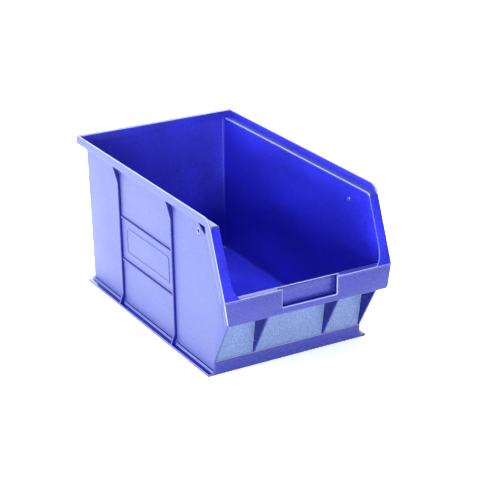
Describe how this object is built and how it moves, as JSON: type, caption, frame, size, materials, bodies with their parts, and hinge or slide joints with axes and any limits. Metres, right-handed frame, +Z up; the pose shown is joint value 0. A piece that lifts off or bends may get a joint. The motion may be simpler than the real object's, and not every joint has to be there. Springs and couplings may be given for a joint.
{
  "type": "stackable storage bin",
  "caption": "Open-front stackable storage bin moulded in one piece, with a stacking rim, sloping mouth, label front, ribbed sides and base runners.",
  "frame": {"origin": "centre of the overall width and depth, on the plane the bin stands on", "axes": "+X to the right seen from the front, +Y to the rear, +Z up; the mouth and label front face -Y"},
  "size_m": [0.205, 0.35, 0.182],
  "materials": {
    "body": "satin moulded polypropylene, blue"
  },
  "bodies": {
    "root": {"floor_panel": "body", "floor_pad_left": "body", "floor_pad_right": "body", "rear_wall": "body", "rear_rim_wall": "body", "rear_hanging_lip": "body", "side_wall_left": "body", "side_wall_right": "body", "rim_seat_left": "body", "rim_seat_right": "body", "rim_lip_left": "body", "rim_lip_right": "body", "mouth_flange_left": "body", "mouth_flange_right": "body", "mouth_lip_left": "body", "mouth_lip_right": "body", "front_wall": "body", "front_scoop": "body", "scoop_edge_strip": "body", "front_foot": "body", "front_gusset_left": "body", "front_gusset_right": "body", "apron_face_left": "body", "apron_face_right": "body", "label_rail": "body", "apron_end_left": "body", "apron_end_right": "body", "apron_top_left": "body", "apron_top_right": "body", "label_guide_left": "body", "label_guide_right": "body", "label_shelf": "body", "label_back": "body", "runner_left": "body", "runner_right": "body", "plinth_left": "body", "plinth_right": "body", "rib_rear_left": "body", "rib_rear_right": "body", "rib_front_left": "body", "rib_front_right": "body", "bar_high_left": "body", "bar_high_right": "body", "bar_low_left": "body", "bar_low_right": "body", "panel_left": "body", "panel_right": "body", "rim_gusset_left": "body", "rim_gusset_right": "body"}
  },
  "joints": []
}
